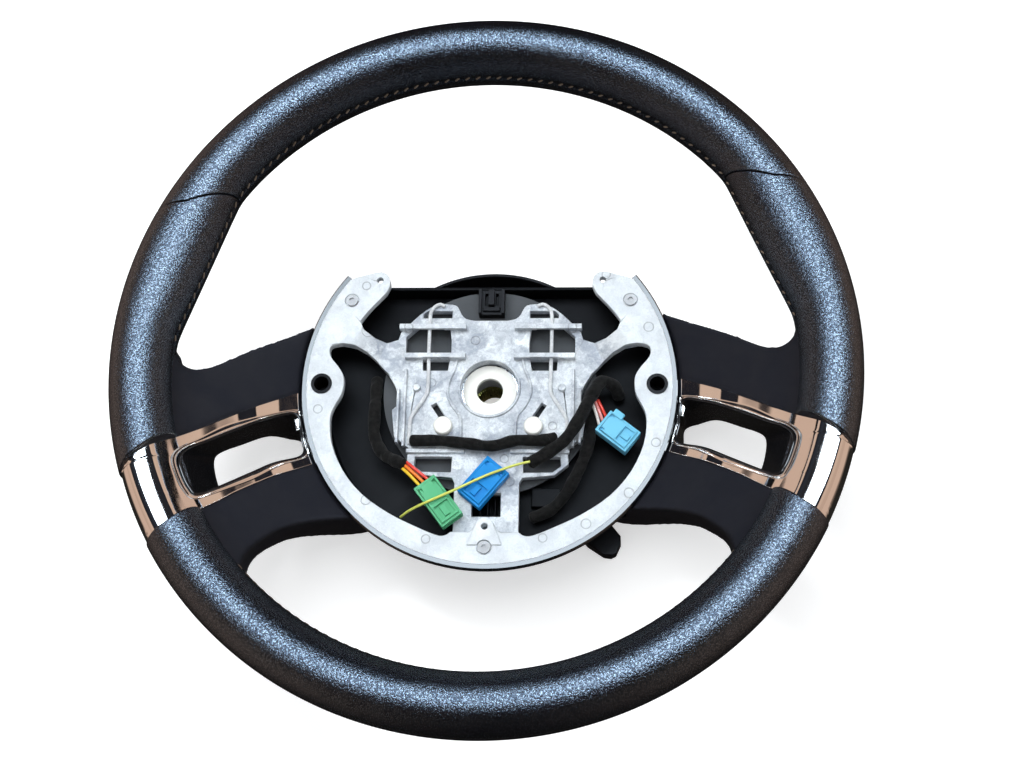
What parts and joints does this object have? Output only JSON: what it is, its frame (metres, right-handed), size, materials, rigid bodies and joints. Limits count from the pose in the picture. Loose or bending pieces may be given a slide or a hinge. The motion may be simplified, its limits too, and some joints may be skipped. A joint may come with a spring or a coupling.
{
  "type": "car steering wheel",
  "caption": "Leather-rimmed car steering wheel with two slotted spokes that turns around a bare cast hub frame, which gears hold still.",
  "frame": {"origin": "on the steering axis, in the plane of the rear ring's flat rear face", "axes": "+Z along the steering axis towards the driver, +Y towards the top of the hub"},
  "size_m": [0.38, 0.38, 0.112],
  "materials": {
    "magnesium": "cast, matt",
    "cast_aluminium": "cast, satin",
    "yellow_steel": "zinc plated, yellow passivated",
    "black_foam": "moulded polyurethane, matt",
    "leather": "smooth grained leather, worn shiny",
    "bright_plating": "polished plating on plastic",
    "gloss_black": "glossy moulded plastic",
    "black_plastic": "fine grained moulded plastic",
    "grey_plastic": "grained moulded plastic",
    "bearing_steel": "ground steel",
    "white_plastic": "moulded plastic",
    "bronze": "sintered bronze",
    "gear_plastic": "moulded acetal",
    "spring_steel": "drawn wire",
    "screw_steel": "zinc plated",
    "green_plastic": "moulded plastic",
    "blue_plastic": "moulded plastic",
    "cyan_plastic": "moulded plastic",
    "loom_tape": "cloth loom tape",
    "wire_insulation": "coloured insulation"
  },
  "bodies": {
    "hub": {"bearing_outer_race": "bearing_steel", "bearing_circlip": "spring_steel", "bearing_balls": "bearing_steel", "hub_frame": "cast_aluminium", "hub_gear": "gear_plastic", "hub_tray": "black_plastic", "gear_cover": "grey_plastic", "hub_trim": "gloss_black", "ring_screws": "screw_steel", "clip_holder": "black_plastic", "spring_wire_left": "spring_steel", "spring_wire_right": "spring_steel", "pad_left": "white_plastic", "pad_right": "white_plastic", "sleeve_left": "black_plastic", "sleeve_right": "black_plastic", "connector_green": "green_plastic", "connector_blue": "blue_plastic", "connector_cyan": "cyan_plastic", "loom_trunk": "loom_tape", "loom_cross": "loom_tape", "loom_lower": "loom_tape", "loom_left": "loom_tape", "leads_green": "wire_insulation", "leads_cyan": "wire_insulation", "signal_wire": "wire_insulation"},
    "wheel": {"armature": "magnesium", "column_bush": "yellow_steel", "rim_foam": "black_foam", "leather_top": "leather", "leather_left": "leather", "leather_right": "leather", "leather_bottom": "leather", "insert_left": "bright_plating", "insert_right": "bright_plating", "slot_lining_left": "gloss_black", "slot_lining_right": "gloss_black", "rear_cover": "black_plastic", "cover_screws": "screw_steel", "bearing_inner_race": "bearing_steel", "boss_washer": "white_plastic", "planet_bush": "bronze", "retaining_clip": "spring_steel"},
    "planet": {"planet_shaft": "bearing_steel", "front_pinion": "gear_plastic", "rear_pinion": "gear_plastic"},
    "rear_ring": {"stator_ring": "black_plastic"}
  },
  "joints": [
    {"name": "wheel_turn", "type": "hinge", "parent": "hub", "child": "wheel", "pos_m": [0, 0, 0.0315], "axis": [0, 0, 1], "range_deg": [-542.3, 537.7]},
    {"name": "planet_spin", "type": "hinge", "parent": "wheel", "child": "planet", "pos_m": [-0.00156, 0.03897, 0.019], "axis": [0, 0, 1], "range_deg": [-1810, 1800]},
    {"name": "rear_ring_turn", "type": "hinge", "parent": "wheel", "child": "rear_ring", "pos_m": [0, 0, 0.006], "axis": [0, 0, 1], "range_deg": [-540, 545]}
  ],
  "couplings": [
    {"joint": "planet_spin", "follows": "wheel_turn", "ratio": 3.3333},
    {"joint": "rear_ring_turn", "follows": "wheel_turn", "ratio": -1}
  ]
}
